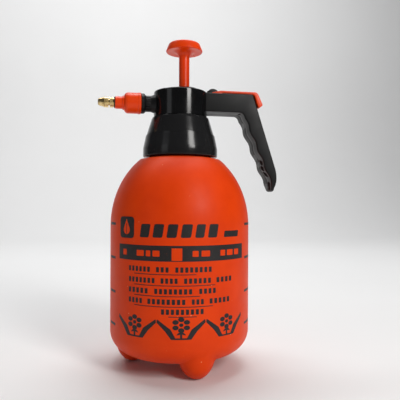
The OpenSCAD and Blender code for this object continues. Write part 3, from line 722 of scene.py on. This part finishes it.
KNOB_BORE_R, KNOB_BORE_H = 3.45, 10.0
KNOB_NECK_R, KNOB_FLARE_R = 4.9, 6.2
KNOB_LIP_R, KNOB_CROWN_R = 0.9, 2.6
KNOB_DOME_R, KNOB_DOME_H = 16.6, 11.5      # the dome's half width, and where it starts above the knob's foot


def make_knob():
    """Pump knob: a domed cap with a rounded rim and a flared neck below."""
    low, top = knob_low.z, knob_high.z
    rim = knob_high.x - PUMP_X
    profile = [(KNOB_BORE_R, low), (KNOB_NECK_R, low)]
    profile += arc(KNOB_NECK_R + KNOB_FLARE_R, low + 0.4, KNOB_FLARE_R, 178, 100, 14)
    profile += [(12.4, low + 6.55), (rim - 1.7, low + 6.0)]
    profile += arc(rim - KNOB_LIP_R, low + 6.9, KNOB_LIP_R, -110, 15, 8)
    profile += arc(12.5, low + 11.4, KNOB_CROWN_R, 20, 66, 8)
    profile += ellipse_arc(0, low + KNOB_DOME_H, KNOB_DOME_R, top - low - KNOB_DOME_H, 48, 90, 10)
    profile += [(0.0, low + KNOB_BORE_H), (KNOB_BORE_R, low + KNOB_BORE_H)]
    bm = bmesh.new()
    turned(bm, profile, upright(PUMP_X))
    piece("pump_knob", bm, "plunger", ["plunger_knob"], orange_moulding, sharp=50)


# ---------------------------------------------------------------- handle and trigger

HANDLE_START_X = 21.2
CHEEK_TOP_Z, CHEEK_CORNER_R, CHEEK_EDGE = 250.8, 2.0, 1.1
CORE_TOP_Z = 248.4
RECESS_TOP_Z = 245.6                       # the core's top beside the pivot
BLOCK_Z = 233.5
CHEEK_INNER = 9.5
TIP_X, TIP_Z, TIP_R = 88.1, 161.6, 1.6
TIP_ROUND_Z, TIP_ROUND_H = 171.0, 11.6     # below this height the tip narrows to a rounded end
BACK_SLOPE, BACK_X, BACK_Z, BACK_R = 0.322, 89.2, 182.4, 32.0
BACK_END_Z, BACK_ROWS = 163.5, 30
FRONT_SLOPE, FRONT_X, FRONT_Z = 0.43, 69.0, 206.5
FRONT_START_Z, FRONT_END_Z, FRONT_ROWS = 164.5, 228.0, 34
FINGER_PITCH, FINGER_DEPTH = 16.8, 0.85
GAP_CORNER_R = 5.0
BACK_RECESS, BACK_RECESS_Z = 4.2, 234.5
VALVE_SLOT_HALF, VALVE_SLOT_Z = 5.4, 236.2
SCREWS = ((57.2, 241.5), (73.4, 212.0), (83.7, 184.5))
SEAT_R, SEAT_DEEP = 3.0, 2.0
BOSS_HALF, BOSS_Z, BOSS_R = 4.4, 250.5, 6.0
SEAM_EDGE = 0.12                           # the rounded edge where the two halves meet
RIB_X, RIB_Z = (HEAD_R + 0.3, HEAD_R + 2.1), (247.0, 254.4)


def grip_back(z):
    """Back edge of the grip: a straight slope that ends in an arc."""
    if z > BACK_Z:
        return BACK_X - BACK_SLOPE * (z - BACK_Z)
    a = math.atan(BACK_SLOPE)
    cx, cz = BACK_X - BACK_R * math.cos(a), BACK_Z - BACK_R * math.sin(a)
    return cx + math.sqrt(BACK_R ** 2 - (z - cz) ** 2)


def grip_front(z):
    """Front edge of the grip, with its finger grooves."""
    wave = math.cos(2 * math.pi * (z - FRONT_Z) / FINGER_PITCH)
    return FRONT_X - FRONT_SLOPE * (z - FRONT_Z) + FINGER_DEPTH * wave


def between(low, high, steps):
    """Evenly spaced heights, both ends included."""
    return [low + (high - low) * i / steps for i in range(steps + 1)]


def grip_lower(back_top):
    """Handle outline from its back edge, down to the tip and up to the block's underside."""
    a = math.atan(FRONT_SLOPE)
    cz = BLOCK_Z - GAP_CORNER_R
    cx = FRONT_X - FRONT_SLOPE * (cz - FRONT_Z) - GAP_CORNER_R / math.cos(a)
    made = [(grip_back(z), z) for z in between(back_top, BACK_END_Z, BACK_ROWS)]
    made += arc(TIP_X, TIP_Z, TIP_R, -10, -180, 8)
    made += [(grip_front(z), z) for z in between(FRONT_START_Z, FRONT_END_Z, FRONT_ROWS)]
    made += arc(cx, cz, GAP_CORNER_R, math.degrees(a) + 6, 90, 8)
    return made + [(HANDLE_START_X, BLOCK_Z)]


def cheek_outline():
    """Side view of an outer cheek."""
    low = CHEEK_TOP_Z - 6
    corner = [(HANDLE_START_X + 5, CHEEK_TOP_Z), (grip_back(CHEEK_TOP_Z), CHEEK_TOP_Z), (grip_back(low), low)]
    corner = rounded(corner, CHEEK_CORNER_R, closed=False)[1:-1]
    return [(HANDLE_START_X, CHEEK_TOP_Z)] + corner + grip_lower(CHEEK_TOP_Z - 8)


def core_outline(slot):
    """The middle of the handle, lowered under the trigger; slot opens it over the valve."""
    if slot:
        left, right = VALVE_X - VALVE_SLOT_HALF, VALVE_X + VALVE_SLOT_HALF
        top = [(HANDLE_START_X, CORE_TOP_Z), (left, CORE_TOP_Z), (left, VALVE_SLOT_Z), (right, VALVE_SLOT_Z),
               (right, CORE_TOP_Z)]
    else:
        top = [(HANDLE_START_X, RECESS_TOP_Z), (PIVOT_X + 5.5, RECESS_TOP_Z), (PIVOT_X + 5.5, CORE_TOP_Z)]
    back = [(grip_back(z) - BACK_RECESS, z) for z in (CORE_TOP_Z, BACK_RECESS_Z)]
    return top + back + grip_lower(BACK_RECESS_Z - 2)


def make_handle(side):
    """One moulded half: an outer cheek, the core beside it and the pivot boss. side is -1 or 1, along Y."""
    bm = bmesh.new()
    cheek = cheek_outline()
    if side > 0:
        seats = [arc(x, z, SEAT_R, 0, 345, 23) for x, z in SCREWS]
        seat_y = HANDLE_HALF - SEAT_DEEP
        plate(bm, cheek, seat_y, HANDLE_HALF, 0.0, CHEEK_EDGE, seats, 5)
        plate(bm, cheek, CHEEK_INNER, seat_y)
    else:
        plate(bm, cheek, CHEEK_INNER, HANDLE_HALF, 0.0, CHEEK_EDGE, (), 5)
    plate(bm, core_outline(False), BOSS_HALF, CHEEK_INNER)
    plate(bm, core_outline(True), 0.0, BOSS_HALF, SEAM_EDGE, 0.0, (), 2)
    plate(bm, arc(PIVOT_X, BOSS_Z, BOSS_R, 0, 352.5, 47), 0.0, BOSS_HALF, SEAM_EDGE, 0.5, (), 3)
    plate(bm, bar(RIB_X[0], RIB_Z[0], RIB_X[1], RIB_Z[1], 0.5), 0.0, BOSS_HALF, SEAM_EDGE, 0.3, (), 3)
    for v in bm.verts:
        if v.co.z < TIP_ROUND_Z:
            v.co.y *= math.sqrt(max(0.08, 1 - ((TIP_ROUND_Z - v.co.z) / TIP_ROUND_H) ** 2))
    if side < 0:
        bmesh.ops.scale(bm, vec=(1, -1, 1), verts=bm.verts)
    name, node = ("handle_half_right", "handle_right") if side > 0 else ("handle_half_left", "handle_left")
    piece(name, bm, "head", [node], handle_grey, sharp=35)


TRIGGER_TOP_Z, TRIGGER_UNDER_Z = 254.1, 251.7
TRIGGER_SPLIT_X, SPLIT_LAP = 37.4, 1.6     # where the arms start, and how far the plate laps over them
TRIGGER_BEND_X, TRIGGER_BEND_R = 69.9, 4
TRIGGER_EDGE = 0.8
TONGUE_R = 1.8
HUB_R, HUB_BORE_R, HUB_EDGE, HUB_GAP = 2.8, 1.58, 0.2, 0.3


def make_trigger():
    """Thumb trigger: two hinge arms, a plate and a tongue over the handle's back corner."""
    half, lap = trigger_high.y, TRIGGER_SPLIT_X + SPLIT_LAP
    arms = [(PIVOT_X - 1.2, PIVOT_Z + 1.2), (PIVOT_X - 0.8, 252.3), (37.0, TRIGGER_TOP_Z),
            (lap, TRIGGER_TOP_Z), (lap, TRIGGER_UNDER_Z), (38.0, 251.3), (37.2, 250.6),
            (33.0, PIVOT_Z - 1.2)]
    body = [(TRIGGER_SPLIT_X, TRIGGER_UNDER_Z), (TRIGGER_SPLIT_X, TRIGGER_TOP_Z)]
    body += arc(TRIGGER_BEND_X, TRIGGER_TOP_Z - TRIGGER_BEND_R, TRIGGER_BEND_R, 90, 26, 10)
    body += arc(75.9, 242.6, TONGUE_R, 10, -60, 6) + arc(74.6, 241.3, TONGUE_R, -80, -170, 6)
    body += [(69.6, 250.2), (67.8, TRIGGER_UNDER_Z)]
    hub = arc(PIVOT_X, PIVOT_Z, HUB_R, 0, 345, 23)
    bore = arc(PIVOT_X, PIVOT_Z, HUB_BORE_R, 0, 345, 23)
    inner = BOSS_HALF + HUB_GAP
    bm = bmesh.new()
    plate(bm, body, -half, half, TRIGGER_EDGE, TRIGGER_EDGE)
    for low, high, a, b in ((inner, half, 0.0, TRIGGER_EDGE), (-half, -inner, TRIGGER_EDGE, 0.0)):
        plate(bm, arms, low, high, a, b)
        plate(bm, hub, low, high, HUB_EDGE, HUB_EDGE, [bore], 2)
    piece("thumb_trigger", bm, "trigger", ["trigger"], orange_moulding, sharp=35)


# ---------------------------------------------------------------- nozzle line

NUT_BORE_R, NUT_END_R, NUT_HOLE_R, NUT_FLOOR = 7.35, 6.4, 5.9, 3.6
NUT_BEAD, NUT_BEAD_END, NUT_BEAD_H = 2.4, 2.9, 0.3
NUT_GRIP, NUT_ROWS = 8.0, 10


def make_union_nut():
    """Union nut: a bead at its inner end, a plain grip and a rounded shoulder."""
    start, end = -nut_high.x, -nut_low.x
    r = nut_high.z - NOZZLE_Z
    grip_r, grip_start = r - NUT_BEAD_H, start + NUT_BEAD_END
    profile = [(NUT_BORE_R, start), (r - 0.4, start), (r, start + 0.5), (r, start + NUT_BEAD)]
    profile += [(grip_r, grip_start + NUT_GRIP * i / NUT_ROWS) for i in range(NUT_ROWS)]
    profile += arc(5.6, end - 5.2, 3.9, 0, 78, 10)
    profile += [(NUT_END_R, end - 1.3), (NUT_END_R, end), (NUT_HOLE_R, end), (NUT_HOLE_R, end - NUT_FLOOR),
                (NUT_BORE_R, end - NUT_FLOOR)]
    bm = bmesh.new()
    turned(bm, rounded(profile, 0.3, 3), along_nozzle, 160)
    piece("nozzle_union_nut", bm, "union_nut", ["union_nut"], orange_moulding)


# ---------------------------------------------------------------- stage, light and camera

def make_stage():
    """Pale floor that curves up into a backdrop far behind the object."""
    bm = bmesh.new()
    reach, front, back, bend, top, sink = 3.2, -2.6, 2.2, 0.8, 3.4, 0.0002
    turns = [math.pi / 2 * i / 12 for i in range(13)]
    curve = [(back - bend + bend * math.sin(a), bend - bend * math.cos(a)) for a in turns]
    line = [(front, 0.0)] + curve + [(back, top)]
    rows = [[bm.verts.new((x, y, z - sink)) for x in (-reach, reach)] for y, z in line]
    for low, high in zip(rows, rows[1:]):
        bm.faces.new((low[0], low[1], high[1], high[0]))
    mesh = bpy.data.meshes.new("floor")
    bm.to_mesh(mesh)
    bm.free()
    mesh.polygons.foreach_set("use_smooth", [True] * len(mesh.polygons))
    floor = bpy.data.objects.new("floor", mesh)
    bpy.context.scene.collection.objects.link(floor)
    n = Nodes("pale_floor")
    colour = n.mix(n.noise(3, 3), (0.80, 0.80, 0.80), (0.84, 0.84, 0.84))
    mesh.materials.append(n.finish(colour, n.ramp(n.noise(8, 3), 0.3, 0.7, 0.7, 0.85)))


def area_light(name, place, aim, size, power, colour=(1.0, 1.0, 1.0)):
    """A soft rectangular light at place, turned towards aim."""
    light = bpy.data.lights.new(name, "AREA")
    light.shape = "RECTANGLE"
    light.size, light.size_y = size
    light.energy = power
    light.color = colour
    obj = bpy.data.objects.new(name, light)
    obj.location = Vector(place)
    obj.rotation_euler = (Vector(aim) - Vector(place)).to_track_quat("-Z", "Y").to_euler()
    bpy.context.scene.collection.objects.link(obj)


def make_lights():
    """Key from the right, weak fill from the left, a top light, a lit backdrop and a dim surround."""
    middle = (0.0, 0.0, 0.15)
    area_light("key", (0.55, -1.0, 0.75), middle, (0.34, 0.6), 9.5, (1.0, 0.985, 0.96))
    area_light("fill", (-1.2, -0.8, 0.6), middle, (0.5, 0.7), 0.8, (0.95, 0.975, 1.0))
    area_light("top", (0.1, 0.1, 1.3), middle, (0.6, 0.5), 4.0)
    area_light("backdrop", (0.0, 0.6, 1.9), (0.0, 2.0, 0.3), (2.2, 0.6), 36.0)
    world = bpy.data.worlds.new("studio")
    world.use_nodes = True
    world.node_tree.nodes["Background"].inputs["Color"].default_value = (0.92, 0.95, 1.0, 1.0)
    world.node_tree.nodes["Background"].inputs["Strength"].default_value = 0.07
    bpy.context.scene.world = world


VIEW_TURN = math.radians(10.7)           # the camera looks along +Y, turned this much towards +X
VIEW_DISTANCE, VIEW_SIDE, VIEW_Z = 0.450, 0.0188, 0.148
VIEW_ROLL = math.radians(0.25)
HORIZON_DROP = 0.01                      # the horizon stands this share of the frame below its middle


def make_camera():
    """The camera that matches the view, a little to the right of the bottle's front."""
    data = bpy.data.cameras.new("camera")
    data.lens, data.sensor_width = 43.2, 36.0
    data.shift_y = HORIZON_DROP
    data.clip_start, data.clip_end = 0.05, 20
    ahead = Vector((math.sin(VIEW_TURN), math.cos(VIEW_TURN), 0.0))
    right = Vector((math.cos(VIEW_TURN), -math.sin(VIEW_TURN), 0.0))
    camera = bpy.data.objects.new("camera", data)
    place = right * VIEW_SIDE - ahead * VIEW_DISTANCE + Vector((0, 0, VIEW_Z))
    turn = ahead.to_track_quat("-Z", "Y").to_matrix().to_4x4()
    camera.matrix_world = Matrix.Translation(place) @ turn @ Matrix.Rotation(VIEW_ROLL, 4, "Z")
    bpy.context.scene.collection.objects.link(camera)
    bpy.context.scene.camera = camera
    bpy.context.scene.view_settings.view_transform = "Standard"


# ---------------------------------------------------------------- the whole object

dress_cad_nodes()
make_bottle()
make_print()
make_collar()
make_knob()
make_handle(-1)
make_handle(1)
make_trigger()
make_union_nut()
make_stage()
make_lights()
make_camera()
